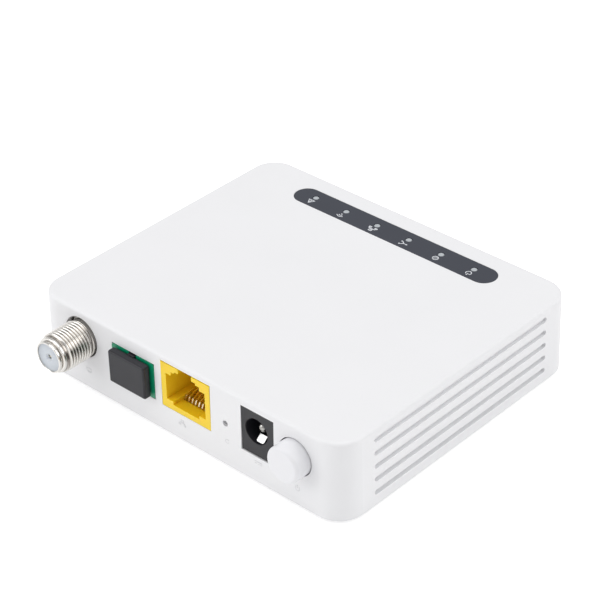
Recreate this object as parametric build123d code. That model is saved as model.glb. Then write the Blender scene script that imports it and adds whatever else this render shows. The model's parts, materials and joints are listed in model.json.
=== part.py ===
from build123d import *
import math
import os

# Fibre network terminal in millimetres. +Z is up and the connector panel faces -Y.
# The origin is under the middle of the whole object, on the plane that the feet stand on.
# Heights called "up" are measured from the case's bottom edge, and depths from the panel's face.

# case
case_width = 92.0
case_depth = 78.6
case_height = 19.8
corner_radius = 6.6
edge_radius = 0.9
lean_angle = 0.9            # the walls lean inwards towards the top
wall = 1.6
roof = 1.3
lip_wall = 0.9              # the wall is thinner where the bottom cover sits in it
lip_height = 2.0
fit_gap = 0.1               # around a piece that drops into another
foot_height = 1.0
foot_radius = 4.0
foot_recess = 0.5

# circuit board
board_top_up = 6.7
board_thickness = 1.6
board_width = 86.4
board_front = 2.1
board_back = 75.3

# threaded coaxial connector
coax_x = -31.45
coax_up = 12.6
coax_hole_up = 12.95
coax_hole_radius = 5.1
coax_reach = 9.8
coax_thread_run = 7.8
coax_band_run = 8.8
coax_thread_radius = 4.72
coax_neck_radius = 4.5
coax_band_radius = 4.3
coax_nose_radius = 3.82
coax_bore_radius = 3.4

# fibre port
fibre_x = -14.8
fibre_up = 11.58
fibre_width = 13.0
fibre_height = 9.1
fibre_socket_width = 9.3
fibre_socket_height = 7.4
fibre_key_width = 2.3
cap_plate_width = 11.2
cap_plate_height = 8.35
cap_front = -2.15
cap_plate_back = -0.4

# Ethernet jack
lan_x = 1.26
lan_up = 12.57
lan_width = 14.6
lan_height = 11.65
lan_depth = 15.5
lan_socket_width = 11.75
lan_pitch = 1.02

# reset switch
reset_x = 13.0
reset_up = 10.9
reset_hole_radius = 0.75

# DC power jack
power_x = 22.3
power_up = 12.3
power_width = 9.2
power_height = 11.25
power_hole_x = 22.0
power_hole_up = 13.1
power_hole_radius = 3.1
power_face = 0.35           # the jack's face stands this far behind the panel's

# power switch and its round button
button_x = 33.0
button_up = 12.2
button_hole_radius = 4.6
button_radius = 4.35
button_front = -4.0
button_travel = 2.5

# indicators
indicator_count = 6
indicator_pitch = 9.61
indicator_first_x = -24.2
indicator_depth = 70.4
strip_x = 0.3
strip_length = 60.1
strip_width = 6.7
strip_depth = 69.8
strip_recess = 0.4
strip_film = 0.35

# side vents
vent_count = 5
vent_pitch = 3.38
vent_top_up = 16.83
vent_height = 1.3
vent_front = 10.4
vent_back = 68.6

# fasteners and wall mount
boss_radius = 2.8
boss_x = 40.4
boss_inset = 8.0
screw_radius = 1.1
board_post_x = 38.5
keyhole_spacing = 60.0
keyhole_radius = 3.5
keyhole_slot_width = 3.6
keyhole_slot_run = 7.0

panel_y = -(case_depth - coax_reach) / 2
back_y = panel_y + case_depth
middle_y = panel_y + case_depth / 2
board_top = foot_height + board_top_up
board_bottom = board_top - board_thickness
roof_underside = foot_height + case_height - roof
case_top = foot_height + case_height
plate_top = foot_height + lip_height
case_screw_places = [
    (side * boss_x, y)
    for side in (-1, 1)
    for y in (panel_y + boss_inset, back_y - boss_inset)
]
board_screw_places = [
    (side * board_post_x, panel_y + depth)
    for side in (-1, 1)
    for depth in (46.0, 62.0)
]
indicator_places = [
    (indicator_first_x + number * indicator_pitch, panel_y + indicator_depth)
    for number in range(indicator_count)
]

os.makedirs("parts", exist_ok=True)


# ---- shapes that several pieces share


def block(x_from, x_to, depth_from, depth_to, z_from, z_to):
    """Box between two corners. Depths run back from the panel's face."""
    size = (x_to - x_from, depth_to - depth_from, z_to - z_from)
    middle = (
        (x_from + x_to) / 2,
        panel_y + (depth_from + depth_to) / 2,
        (z_from + z_to) / 2,
    )
    return Pos(*middle) * Box(*size)


def centred_block(x, z, width, height, depth_from, depth_to):
    """Box around a line that runs back into the case."""
    return block(
        x - width / 2, x + width / 2, depth_from, depth_to, z - height / 2, z + height / 2
    )


def rod_back(x, z, depth_from, depth_to, radius):
    """Cylinder along Y."""
    middle = panel_y + (depth_from + depth_to) / 2
    return Pos(x, middle, z) * Rot(90, 0, 0) * Cylinder(radius, depth_to - depth_from)


def rod_up(x, y, z_from, z_to, radius):
    """Cylinder along Z."""
    return Pos(x, y, (z_from + z_to) / 2) * Cylinder(radius, z_to - z_from)


def rod_across(x_from, x_to, y, z, radius):
    """Cylinder along X."""
    return Pos((x_from + x_to) / 2, y, z) * Rot(0, 90, 0) * Cylinder(radius, x_to - x_from)


def slab(width, depth, radius, z_from, z_to, lean=0):
    """Plate with round corners around the middle of the case."""
    outline = Plane.XY.offset(z_from) * Pos(0, middle_y) * RectangleRounded(width, depth, radius)
    return extrude(outline, z_to - z_from, taper=lean)


def strip(points, thickness, width, x):
    """Bent sheet-metal strip: the points are (depth, z) along its middle."""
    near = []
    far = []
    for number, (depth, z) in enumerate(points):
        before = points[max(number - 1, 0)]
        after = points[min(number + 1, len(points) - 1)]
        arms = []
        for start, end in ((before, (depth, z)), ((depth, z), after)):
            length = math.dist(start, end)
            if length > 0:
                arms.append(((end[0] - start[0]) / length, (end[1] - start[1]) / length))
        normal_x = sum(-arm[1] for arm in arms)
        normal_z = sum(arm[0] for arm in arms)
        size = math.hypot(normal_x, normal_z)
        lean = (normal_x * -arms[0][1] + normal_z * arms[0][0]) / size
        reach = thickness / 2 / lean / size
        near.append((panel_y + depth + normal_x * reach, z + normal_z * reach))
        far.append((panel_y + depth - normal_x * reach, z - normal_z * reach))
    outline = Plane.YZ.offset(x - width / 2) * make_face(Polyline(*near, *reversed(far), close=True))
    return extrude(outline, width)


def save(name, shape):
    """Write one node, a group of separate solids if it is a list."""
    if isinstance(shape, list):
        shape = Compound(children=[piece.solid() for piece in shape])
    export_step(shape, f"parts/{name}.step")


# ---- case


def vent_slots():
    """Long slots with round ends through both side walls."""
    slots = []
    radius = vent_height / 2
    first = vent_front + radius
    last = vent_back - radius
    for number in range(vent_count):
        z = foot_height + vent_top_up - number * vent_pitch
        for side in (-1, 1):
            x_from = side * (case_width / 2 + 1) - 2
            slots.append(
                block(x_from, x_from + 4, first, last, z - radius, z + radius)
            )
            for depth in (first, last):
                slots.append(rod_across(x_from, x_from + 4, panel_y + depth, z, radius))
    return slots


def panel_openings():
    """Cut-outs for the connectors, the reset pin and the button."""
    front = -1
    back = wall + 1
    gap = 2 * fit_gap
    return [
        rod_back(coax_x, foot_height + coax_hole_up, front, back, coax_hole_radius),
        centred_block(
            fibre_x, foot_height + fibre_up, fibre_width + gap, fibre_height + gap, front, back
        ),
        centred_block(lan_x, foot_height + lan_up, lan_width + gap, lan_height + gap, front, back),
        rod_back(reset_x, foot_height + reset_up, front, back, reset_hole_radius),
        centred_block(
            power_x, foot_height + power_up, power_width + gap, power_height + gap, front, back
        ),
        rod_back(button_x, foot_height + button_up, front, back, button_hole_radius),
    ]


def top_cover():
    """Roof, four leaning walls and the screw bosses."""
    outer = slab(case_width, case_depth, corner_radius, foot_height, case_top, lean_angle)
    outer = fillet(outer.faces().sort_by(Axis.Z)[-1].edges(), edge_radius)
    hollow = slab(
        case_width - 2 * wall,
        case_depth - 2 * wall,
        corner_radius - wall,
        foot_height,
        roof_underside,
        lean_angle,
    )
    lip = slab(
        case_width - 2 * lip_wall,
        case_depth - 2 * lip_wall,
        corner_radius - lip_wall,
        foot_height,
        plate_top,
    )
    shell = outer - hollow - lip
    for x, y in case_screw_places:
        side = math.copysign(1, x)
        shell += rod_up(x, y, plate_top, roof_underside + 0.2, boss_radius)
        rib = Pos(side * 43.8, y, (plate_top + 3 + roof_underside) / 2)
        shell += rib * Box(1.8, 1.0, roof_underside - plate_top - 3 + 0.4)
    for x, y in case_screw_places:
        shell -= rod_up(x, y, plate_top - 1, plate_top + 9.5, screw_radius + 0.02)
    for opening in panel_openings() + vent_slots():
        shell -= opening
    recess = Pos(strip_x, panel_y + strip_depth, case_top) * SlotOverall(strip_length, strip_width)
    shell -= extrude(recess, -strip_recess)
    for x, y in indicator_places:
        shell -= rod_up(x, y, roof_underside - 1, case_top + 1, 0.9)
    return shell


def keyhole(x):
    """Round entry and a slot that a wall screw's neck slides along."""
    bottom = foot_height - 1
    top = plate_top + 1
    entry = rod_up(x, middle_y, bottom, top, keyhole_radius)
    half = keyhole_slot_width / 2
    slot = Pos(x, middle_y + keyhole_slot_run / 2, (bottom + top) / 2)
    neck = slot * Box(keyhole_slot_width, keyhole_slot_run, top - bottom)
    return entry + neck + rod_up(x, middle_y + keyhole_slot_run, bottom, top, half)


def bottom_cover():
    """Flat plate in the lip of the top cover, with the board's posts."""
    inset = 2 * (lip_wall + fit_gap)
    plate = slab(
        case_width - inset, case_depth - inset, corner_radius - inset / 2, foot_height, plate_top
    )
    for x, y in board_screw_places:
        plate += rod_up(x, y, plate_top - 0.5, board_bottom, 2.5)
    for x, y in board_screw_places:
        plate -= rod_up(x, y, foot_height + 1, board_bottom + 1, 0.92)
    for x, y in case_screw_places:
        plate -= rod_up(x, y, foot_height - 1, plate_top + 1, 1.4)
        plate -= rod_up(x, y, foot_height - 1, foot_height + 1.0, 2.7)
    for x, y in foot_places():
        plate -= rod_up(x, y, foot_height - 1, foot_height + foot_recess, foot_radius + 0.1)
    for x in (-keyhole_spacing / 2, keyhole_spacing / 2):
        plate -= keyhole(x)
    for number in range(9):
        for depth in (13.0, 59.0):
            x = (number - 4) * 4.0
            slot = block(x - 0.75, x + 0.75, depth, depth + 8.0, foot_height - 1, plate_top + 1)
            plate -= slot
    plate -= block(-23.2, 23.2, 26.8, 52.2, foot_height - 1, foot_height + 0.2)
    return plate


def foot_places():
    """Feet near the corners, inside the screws."""
    return [
        (side * 31.0, panel_y + depth)
        for side in (-1, 1)
        for depth in (9.0, case_depth - 9.0)
    ]


def rubber_feet():
    """Four round pads in the bottom cover's recesses."""
    feet = []
    for x, y in foot_places():
        pad = rod_up(x, y, 0, foot_height + foot_recess, foot_radius)
        feet.append(chamfer(pad.edges().sort_by(Axis.Z)[0], 0.4))
    return feet


def cross_slot(x, y, z_from, z_to, length, width):
    """Cross recess of a screw head."""
    middle = (z_from + z_to) / 2
    first = Pos(x, y, middle) * Box(length, width, z_to - z_from)
    return first + Pos(x, y, middle) * Box(width, length, z_to - z_from)


def case_screws():
    """Four pan-head screws put in from below."""
    screws = []
    for x, y in case_screw_places:
        head = rod_up(x, y, foot_height + 0.05, foot_height + 1.0, 2.5)
        head = chamfer(head.edges().sort_by(Axis.Z)[0], 0.35)
        screw = head + rod_up(x, y, foot_height + 1.0, plate_top + 9.0, screw_radius)
        screws.append(screw - cross_slot(x, y, foot_height - 0.1, foot_height + 0.7, 2.8, 0.6))
    return screws


def board_screws():
    """Four screws that hold the board on its posts."""
    screws = []
    for x, y in board_screw_places:
        head = rod_up(x, y, board_top, board_top + 1.2, 2.0)
        head = chamfer(head.edges().sort_by(Axis.Z)[-1], 0.35)
        screw = head + rod_up(x, y, foot_height + 1.2, board_top, 0.9)
        screws.append(screw - cross_slot(x, y, board_top + 0.6, board_top + 1.3, 2.2, 0.5))
    return screws


def rating_label():
    """Blank sticker in its shallow recess."""
    return block(-23.0, 23.0, 27.0, 52.0, foot_height + 0.06, foot_height + 0.2)


# ---- indicator strip


def indicator_overlay():
    """Dark strip with a round window over each indicator."""
    gap = 2 * 0.05
    outline = SlotOverall(strip_length - gap, strip_width - gap)
    plate = Pos(strip_x, panel_y + strip_depth, case_top - strip_recess) * outline
    overlay = extrude(plate, strip_film)
    for x, y in indicator_places:
        overlay -= rod_up(x, y, case_top - 1, case_top + 1, 0.85)
    return overlay


def light_pipe():
    """Clear bar with a pin up to each window and a leg down to each indicator."""
    low = roof_underside - 2.0
    bar = block(-26.5, 26.5, indicator_depth - 1.2, indicator_depth + 1.2, low, low + 1.5)
    for x, y in indicator_places:
        pin = rod_up(x, y, low + 1, case_top - 0.05, 0.8)
        bar += fillet(pin.edges().sort_by(Axis.Z)[-1], 0.3)
        bar += rod_up(x, y, board_top + 1.1, low + 0.5, 1.0)
    return bar


def indicator_leds():
    """Small surface-mount indicators on the board."""
    leds = []
    for x, y in indicator_places:
        base = Pos(x, y, board_top + 0.15) * Box(1.6, 0.8, 0.3)
        leds.append(base + Pos(x, y, board_top + 0.5) * Box(1.0, 0.8, 0.5))
    return leds


# ---- circuit board


def main_board():
    """Board with cut corners for the bosses and holes for screws and legs."""
    board = block(
        -board_width / 2, board_width / 2, board_front, board_back, board_bottom, board_top
    )
    edge = board_width / 2 + 1
    inner = boss_x - boss_radius - 0.6
    reach = boss_inset + boss_radius + 0.6
    for side in (-1, 1):
        x_from = min(side * inner, side * edge)
        x_to = max(side * inner, side * edge)
        board -= block(x_from, x_to, 0, reach, board_bottom - 1, board_top + 1)
        board -= block(
            x_from, x_to, case_depth - reach, case_depth, board_bottom - 1, board_top + 1
        )
    for x, y in board_screw_places:
        board -= rod_up(x, y, board_bottom - 1, board_top + 1, 1.2)
    for x, depth, radius in board_leg_holes():
        board -= rod_up(x, panel_y + depth, board_bottom - 1, board_top + 1, radius + 0.15)
    return board


def board_leg_holes():
    """Holes for legs that go through the board: (x, depth, leg radius)."""
    return coax_legs() + power_legs() + switch_legs() + [(coax_x, 13.4, 0.4)]


def coax_legs():
    """Four stout legs under the coaxial connector's block."""
    return [(coax_x + side * 4.2, depth, 0.7) for side in (-1, 1) for depth in (4.0, 10.5)]


def power_legs():
    """Three terminals of the power jack."""
    return [(power_x, 12.9, 0.6), (power_x, 8.0, 0.6), (power_x + 3.4, 10.5, 0.6)]


def switch_legs():
    """Six terminals of the power switch."""
    return [(button_x + side * 2.4, depth, 0.4) for side in (-1, 1) for depth in (9.5, 13.0, 16.5)]


def legs(places, z_low):
    """Straight legs from the board's top down through it."""
    return [rod_up(x, panel_y + depth, z_low, board_top + 0.3, radius) for x, depth, radius in places]


# ---- coaxial connector

coax_z = foot_height + coax_up


def f_connector_body():
    """Threaded barrel with a stepped nose, on a square block that is soldered to the board."""
    barrel = rod_back(coax_x, coax_z, -coax_thread_run, -0.2, coax_thread_radius)
    barrel = chamfer(barrel.edges().sort_by(Axis.Y)[0], 0.35)
    barrel += rod_back(coax_x, coax_z, -coax_band_run, -coax_thread_run + 0.1, coax_band_radius)
    nose = rod_back(coax_x, coax_z, -coax_reach, -coax_band_run + 0.1, coax_nose_radius)
    barrel += chamfer(nose.edges().sort_by(Axis.Y)[0], 0.22)
    barrel += rod_back(coax_x, coax_z, -0.3, 3.0, coax_neck_radius)
    body = barrel + block(coax_x - 5.5, coax_x + 5.5, 2.2, 12.0, board_top, coax_z + 5.3)
    for leg in legs(coax_legs(), board_bottom - 1.2):
        body += leg
    return body - rod_back(coax_x, coax_z, -coax_reach - 1, 13.0, coax_bore_radius)


def f_insulator():
    """White dielectric that fills the barrel, bored for the centre contact."""
    core = rod_back(coax_x, coax_z, -coax_reach + 0.25, 12.0, coax_bore_radius - 0.02)
    core -= rod_back(coax_x, coax_z, -coax_reach, 0.0, 0.6)
    mouth = core.edges().filter_by(GeomType.CIRCLE).sort_by(Axis.Y)[0:2].sort_by(SortBy.RADIUS)[0]
    core = chamfer(mouth, 0.35)
    return core - rod_back(coax_x, coax_z, -coax_reach + 1.0, 13.0, 0.86)


def f_center_contact():
    """Spring sleeve that grips the cable's wire, with its tail down to the board."""
    sleeve = rod_back(coax_x, coax_z, -coax_reach + 1.1, 13.9, 0.8)
    sleeve -= rod_back(coax_x, coax_z, -coax_reach + 1.0, 4.0, 0.45)
    tail_y = panel_y + 13.4
    return sleeve + rod_up(coax_x, tail_y, board_bottom - 1.0, coax_z, 0.4)


# ---- fibre port

fibre_z = foot_height + fibre_up


def optical_port_housing():
    """Green square tube with the plug's key notch in its roof."""
    shell = centred_block(fibre_x, fibre_z, fibre_width, fibre_height, 0.1, 17.0)
    shell = chamfer(shell.edges().filter_by(Axis.Y), 0.4)
    socket = centred_block(
        fibre_x, fibre_z, fibre_socket_width, fibre_socket_height, -1, 18.0
    )
    notch = centred_block(fibre_x, fibre_z + fibre_height / 2, fibre_key_width, 3.0, -1, 6.5)
    return shell - socket - notch


def optical_latch_insert():
    """Inner piece with two latch hooks and the sleeve holder."""
    width = fibre_socket_width - 0.1
    height = fibre_socket_height - 0.1
    insert = centred_block(fibre_x, fibre_z, width, height, 13.0, 15.0)
    for side in (-1, 1):
        arm = centred_block(fibre_x + side * 4.0, fibre_z, 0.9, 3.0, 5.0, 13.2)
        hook = centred_block(fibre_x + side * 3.7, fibre_z, 1.4, 3.0, 5.0, 6.2)
        insert += arm + hook
    insert += rod_back(fibre_x, fibre_z, 6.4, 13.2, 2.3)
    return insert - rod_back(fibre_x, fibre_z, 6.0, 16.0, 1.65)


def alignment_sleeve():
    """Split ceramic sleeve that lines the fibre ends up."""
    tube = rod_back(fibre_x, fibre_z, 7.0, 14.6, 1.6)
    tube -= rod_back(fibre_x, fibre_z, 6.0, 16.0, 1.26)
    return tube - centred_block(fibre_x, fibre_z + 1.5, 0.35, 1.4, 6.0, 16.0)


def optical_module_body():
    """Metal block of the three-way optical module, with its round nose."""
    block_part = centred_block(fibre_x, fibre_z, 8.6, 8.0, 17.2, 28.0)
    block_part = chamfer(block_part.edges().filter_by(Axis.Y), 0.6)
    return block_part + rod_back(fibre_x, fibre_z, 15.1, 17.4, 3.0)


def laser_can():
    """Transmitter can on the back of the module."""
    flange = rod_back(fibre_x, fibre_z, 28.0, 29.2, 2.8)
    return flange + rod_back(fibre_x, fibre_z, 29.0, 31.6, 2.3)


def detector_cans():
    """Data and video receivers on the module's two sides."""
    cans = []
    for side in (-1, 1):
        ends = sorted((fibre_x + side * 4.3, fibre_x + side * 5.4))
        flange = rod_across(*ends, panel_y + 23.0, fibre_z, 2.6)
        ends = sorted((fibre_x + side * 5.3, fibre_x + side * 7.2))
        cans.append(flange + rod_across(*ends, panel_y + 23.0, fibre_z, 2.1))
    return cans


def optical_leads():
    """Formed wires from each can down to the board."""
    wires = []
    radius = 0.22
    for offset in (-1.0, 0.0, 1.0):
        back = rod_back(fibre_x + offset, fibre_z, 31.6, 34.2, radius)
        down = rod_up(fibre_x + offset, panel_y + 34.0, board_top, fibre_z, radius)
        wires.append(back + down)
        for side in (-1, 1):
            y = panel_y + 23.0 + offset
            ends = sorted((fibre_x + side * 7.2, fibre_x + side * 8.2))
            out = rod_across(*ends, y, fibre_z, radius)
            down = rod_up(fibre_x + side * 8.0, y, board_top, fibre_z, radius)
            wires.append(out + down)
    return wires


def dust_cap():
    """Plate with a hollow plug and a key that fits the notch."""
    plate = centred_block(
        fibre_x, fibre_z, cap_plate_width, cap_plate_height, cap_front, cap_plate_back
    )
    plate = fillet(plate.edges().filter_by(Axis.Y), 0.5)
    plate = fillet(plate.faces().sort_by(Axis.Y)[0].edges(), 0.48)
    plug = centred_block(fibre_x, fibre_z, 9.0, 7.1, cap_plate_back - 0.1, 4.2)
    plug -= centred_block(fibre_x, fibre_z, 7.0, 5.1, cap_plate_back, 5.0)
    key = centred_block(fibre_x, fibre_z + 3.9, 2.0, 0.9, cap_plate_back - 0.1, 3.6)
    return plate + plug + key


# ---- Ethernet jack

lan_z_low = board_top
lan_z_high = board_top + lan_height


def lan_jack_housing():
    """Jack body, open at the front, with the plug's stepped opening."""
    middle = (lan_z_low + lan_z_high) / 2
    body = centred_block(lan_x, middle, lan_width, lan_height, 0.15, lan_depth)

    def cut(half_width, depth_to, up_from, up_to):
        return block(
            lan_x - half_width,
            lan_x + half_width,
            -1,
            depth_to,
            foot_height + up_from,
            foot_height + up_to,
        )

    body -= cut(lan_socket_width / 2, 12.0, 9.0, 15.8)
    body -= cut(3.95, 12.0, 8.1, 9.1)
    body -= cut(4.25, 12.0, 15.7, 16.75)
    body -= cut(3.2, 12.0, 16.7, 17.25)
    body -= cut(2.0, 4.5, 17.2, 19.0)
    groove = block(
        lan_x - 3.95, lan_x + 3.95, 3.0, lan_depth + 1, foot_height + 7.5, foot_height + 8.2
    )
    return body - groove


def lan_jack_contacts():
    """Eight spring wires: up from the floor of the jack, and back to the board."""
    path = [
        (lan_depth + 2.0, board_top + 0.15),
        (lan_depth + 0.8, board_top + 0.15),
        (lan_depth + 0.4, foot_height + 7.85),
        (3.4, foot_height + 7.85),
        (3.9, foot_height + 8.9),
        (10.8, foot_height + 11.6),
    ]
    return [strip(path, 0.22, 0.34, lan_x + (number - 3.5) * lan_pitch) for number in range(8)]


def lan_transformer():
    """Moulded block of coupling transformers behind the jack."""
    return chamfer(
        centred_block(lan_x, board_top + 3.0, 12.6, 5.6, 25.0, 37.0).edges().filter_by(Axis.Y), 0.4
    )


def transformer_leads():
    """Gull-wing leads along both long sides of the transformer block."""
    leads = []
    for number in range(8):
        x = lan_x + (number - 3.5) * 1.4
        front = [(23.4, board_top + 0.12), (24.2, board_top + 0.12), (24.5, board_top + 1.5)]
        leads.append(strip(front + [(25.0, board_top + 1.5)], 0.22, 0.5, x))
        back = [(38.6, board_top + 0.12), (37.8, board_top + 0.12), (37.5, board_top + 1.5)]
        leads.append(strip(back + [(37.0, board_top + 1.5)], 0.22, 0.5, x))
    return leads


# ---- DC power jack

power_hole_z = foot_height + power_hole_up


def dc_jack_housing():
    """Moulded body with the round socket for the barrel plug."""
    z_high = board_top + power_height
    middle = (board_top + z_high) / 2
    body = centred_block(power_x, middle, power_width, power_height, power_face, 14.2)
    socket = rod_back(power_hole_x, power_hole_z, 0.0, 10.5, power_hole_radius)
    lead_in = rod_back(power_hole_x, power_hole_z, 0.0, power_face + 0.15, power_hole_radius + 0.1)
    pin_hole = rod_back(power_hole_x, power_hole_z, 9.0, 15.0, 1.07)
    pocket = block(power_hole_x - 1.2, power_hole_x + 1.2, 0.9, 10.5, board_top + 1.2, power_hole_z)
    drop = block(power_hole_x - 1.0, power_hole_x + 1.0, 7.2, 8.8, board_top - 1, board_top + 1.3)
    side_drop = rod_up(power_x + 3.4, panel_y + 10.5, board_top - 1, board_top + 1.5, 0.62)
    back_drop = rod_up(power_x, panel_y + 12.9, board_top - 1, power_hole_z, 0.62)
    return body - socket - lead_in - pin_hole - pocket - drop - side_drop - back_drop


def dc_jack_pin():
    """Round centre pin with its terminal at the back."""
    pin = rod_back(power_hole_x, power_hole_z, 1.6, 13.5, 1.05)
    pin = fillet(pin.edges().sort_by(Axis.Y)[0], 0.9)
    return pin + rod_up(power_x, panel_y + 12.9, board_bottom - 1.0, power_hole_z, 0.6)


def dc_jack_spring():
    """Leaf that presses on the outside of the plug from below."""
    low = board_top + 1.8
    leg = strip([(8.0, board_bottom - 0.8), (8.0, low), (9.0, low)], 0.3, 1.0, power_x)
    socket_floor = power_hole_z - power_hole_radius
    path = [
        (8.2, low),
        (9.8, low),
        (9.8, low + 0.5),
        (2.6, socket_floor + 0.8),
        (1.3, socket_floor - 0.3),
    ]
    return leg + strip(path, 0.3, 2.0, power_hole_x)


def dc_jack_switch_terminal():
    """Third terminal, at the side of the jack."""
    return rod_up(power_x + 3.4, panel_y + 10.5, board_bottom - 1.0, board_top + 1.4, 0.6)


# ---- power switch

button_z = foot_height + button_up
plunger_end = 13.0
plunger_size = 3.0
spring_end = plunger_end + button_travel + 3.5


def power_switch_body():
    """Latching switch body with a square channel for its plunger."""
    body = centred_block(button_x, board_top + 4.6, 7.4, 9.2, 7.0, 20.0)
    size = plunger_size + 2 * fit_gap
    channel = centred_block(button_x, button_z, size, size, 6.0, spring_end)
    return body - channel


def power_switch_terminals():
    """Six legs under the switch."""
    return [
        rod_up(x, panel_y + depth, board_bottom - 1.0, board_top, radius)
        for x, depth, radius in switch_legs()
    ]


def power_switch_plunger():
    """Square rod that the button is pushed onto."""
    rod = centred_block(button_x, button_z, plunger_size, plunger_size, -1.5, plunger_end)
    return chamfer(rod.faces().sort_by(Axis.Y)[0].edges(), 0.3)


def power_switch_spring():
    """Return spring behind the plunger, as the tube that it fills."""
    tube = rod_back(button_x, button_z, plunger_end, spring_end, 1.4)
    return tube - rod_back(button_x, button_z, plunger_end - 1, spring_end + 1, 1.0)


def power_button():
    """Round cap with a soft front edge and a collar that keeps it in the case."""
    cap = rod_back(button_x, button_z, button_front, 3.4, button_radius)
    cap = fillet(cap.edges().sort_by(Axis.Y)[0], 0.8)
    cap += rod_back(button_x, button_z, 2.3, 3.4, button_hole_radius + 0.4)
    return cap - centred_block(button_x, button_z, plunger_size, plunger_size, -1.5, 4.0)


# ---- reset switch

reset_z = foot_height + reset_up


def reset_switch_body():
    """Upright push switch behind the reset hole."""
    body = centred_block(reset_x, board_top + 3.7, 6.0, 7.4, 4.2, 7.8)
    return body - rod_back(reset_x, reset_z, 4.0, 5.6, 1.65)


def reset_switch_frame():
    """Steel bracket that holds the switch upright."""
    plate = centred_block(reset_x, board_top + 3.8, 7.0, 7.6, 7.8, 8.1)
    for side in (-1, 1):
        plate += block(
            *sorted((reset_x + side * 3.05, reset_x + side * 3.5)),
            4.6,
            8.0,
            board_top,
            board_top + 7.6,
        )
    return plate


def reset_plunger():
    """Short round plunger under the reset hole."""
    return rod_back(reset_x, reset_z, 2.7, 5.3, 1.6)


# ---- parts on the board


def flat_part(x, depth, width, length, height):
    """Moulded block that lies on the board."""
    return block(
        x - width / 2, x + width / 2, depth - length / 2, depth + length / 2, board_top, board_top + height
    )


chip_x = 10.0
chip_depth = 52.0
chip_height = 1.4
pad_height = 0.5


def main_chip():
    """Main processor."""
    package = flat_part(chip_x, chip_depth, 15, 15, chip_height)
    return chamfer(package.faces().sort_by(Axis.Z)[-1].edges(), 0.15)


def thermal_pad():
    """Soft pad between the processor and its heat sink."""
    low = board_top + chip_height
    return block(chip_x - 7, chip_x + 7, chip_depth - 7, chip_depth + 7, low, low + pad_height)


def heat_sink():
    """Aluminium base with upright fins."""
    low = board_top + chip_height + pad_height
    sink = block(chip_x - 10, chip_x + 10, chip_depth - 10, chip_depth + 10, low, low + 1.6)
    for number in range(8):
        x = chip_x - 10 + number * (20 - 0.9) / 7
        sink += block(x, x + 0.9, chip_depth - 10, chip_depth + 10, low + 1.5, low + 7.0)
    return sink


def memory_chips():
    """Program memory and working memory."""
    return [flat_part(-8.0, 46.0, 5.3, 5.3, 1.6), flat_part(-8.0, 57.0, 9.0, 7.5, 1.0)]


def rf_shield_frame():
    """Tinned frame around the video amplifier."""
    walls = flat_part(-31.0, 29.0, 15.0, 22.0, 3.4)
    return walls - flat_part(-31.0, 29.0, 14.4, 21.4, 5.0)


def rf_shield_lid():
    """Lid that clips over the frame, with round vent holes."""
    low = board_top + 3.4
    lid = block(-38.8, -23.2, 17.7, 40.3, low, low + 0.3)
    skirt = block(-38.8, -23.2, 17.7, 40.3, low - 1.4, low + 0.1)
    skirt -= block(-38.55, -23.45, 17.95, 40.05, low - 2, low)
    lid += skirt
    for column in range(4):
        for row in range(6):
            x = -31.0 + (column - 1.5) * 3.4
            y = panel_y + 29.0 + (row - 2.5) * 3.4
            lid -= rod_up(x, y, low - 1, low + 1, 0.6)
    return lid


def rf_amplifier():
    """Video amplifier inside the shield."""
    return flat_part(-31.0, 29.0, 5.0, 5.0, 0.9)


def power_inductors():
    """Square shielded coils of the voltage converters."""
    return [
        chamfer(flat_part(x, depth, 6.6, 6.6, 3.8).edges().filter_by(Axis.Z), 0.9)
        for x, depth in ((32.5, 27.0), (32.5, 36.5))
    ]


def filter_capacitors():
    """Upright electrolytic cans."""
    cans = []
    for x, depth in ((21.8, 24.0), (21.8, 33.0), (39.0, 54.0)):
        can = rod_up(x, panel_y + depth, board_top, board_top + 8.5, 3.15)
        can = fillet(can.edges().sort_by(Axis.Z)[-1], 0.4)
        cans.append(can - rod_up(x, panel_y + depth, board_top + 8.35, board_top + 9, 2.5))
    return cans


def voltage_regulators():
    """Converter chips beside the coils."""
    return [flat_part(26.0, 42.5, 4.0, 5.0, 1.5), flat_part(-20.0, 46.0, 4.0, 5.0, 1.5)]


def crystal_can():
    """Clock crystal in its metal can."""
    return fillet(flat_part(-8.0, 38.5, 5.0, 3.2, 1.2).edges().filter_by(Axis.Z), 0.5)


def chip_parts():
    """Rows of small resistors and capacitors around the processor and the converters."""
    parts = []
    for number in range(12):
        x = chip_x - 9 + number * 18 / 11
        parts.append(flat_part(x, chip_depth - 12.0, 0.6, 1.1, 0.5))
        parts.append(flat_part(x, chip_depth + 12.0, 0.6, 1.1, 0.5))
    for number in range(6):
        parts.append(flat_part(-16.0, 42.0 + number * 2.2, 1.1, 0.6, 0.5))
        parts.append(flat_part(27.5, 47.5 + number * 2.2, 1.1, 0.6, 0.5))
    return parts


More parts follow.
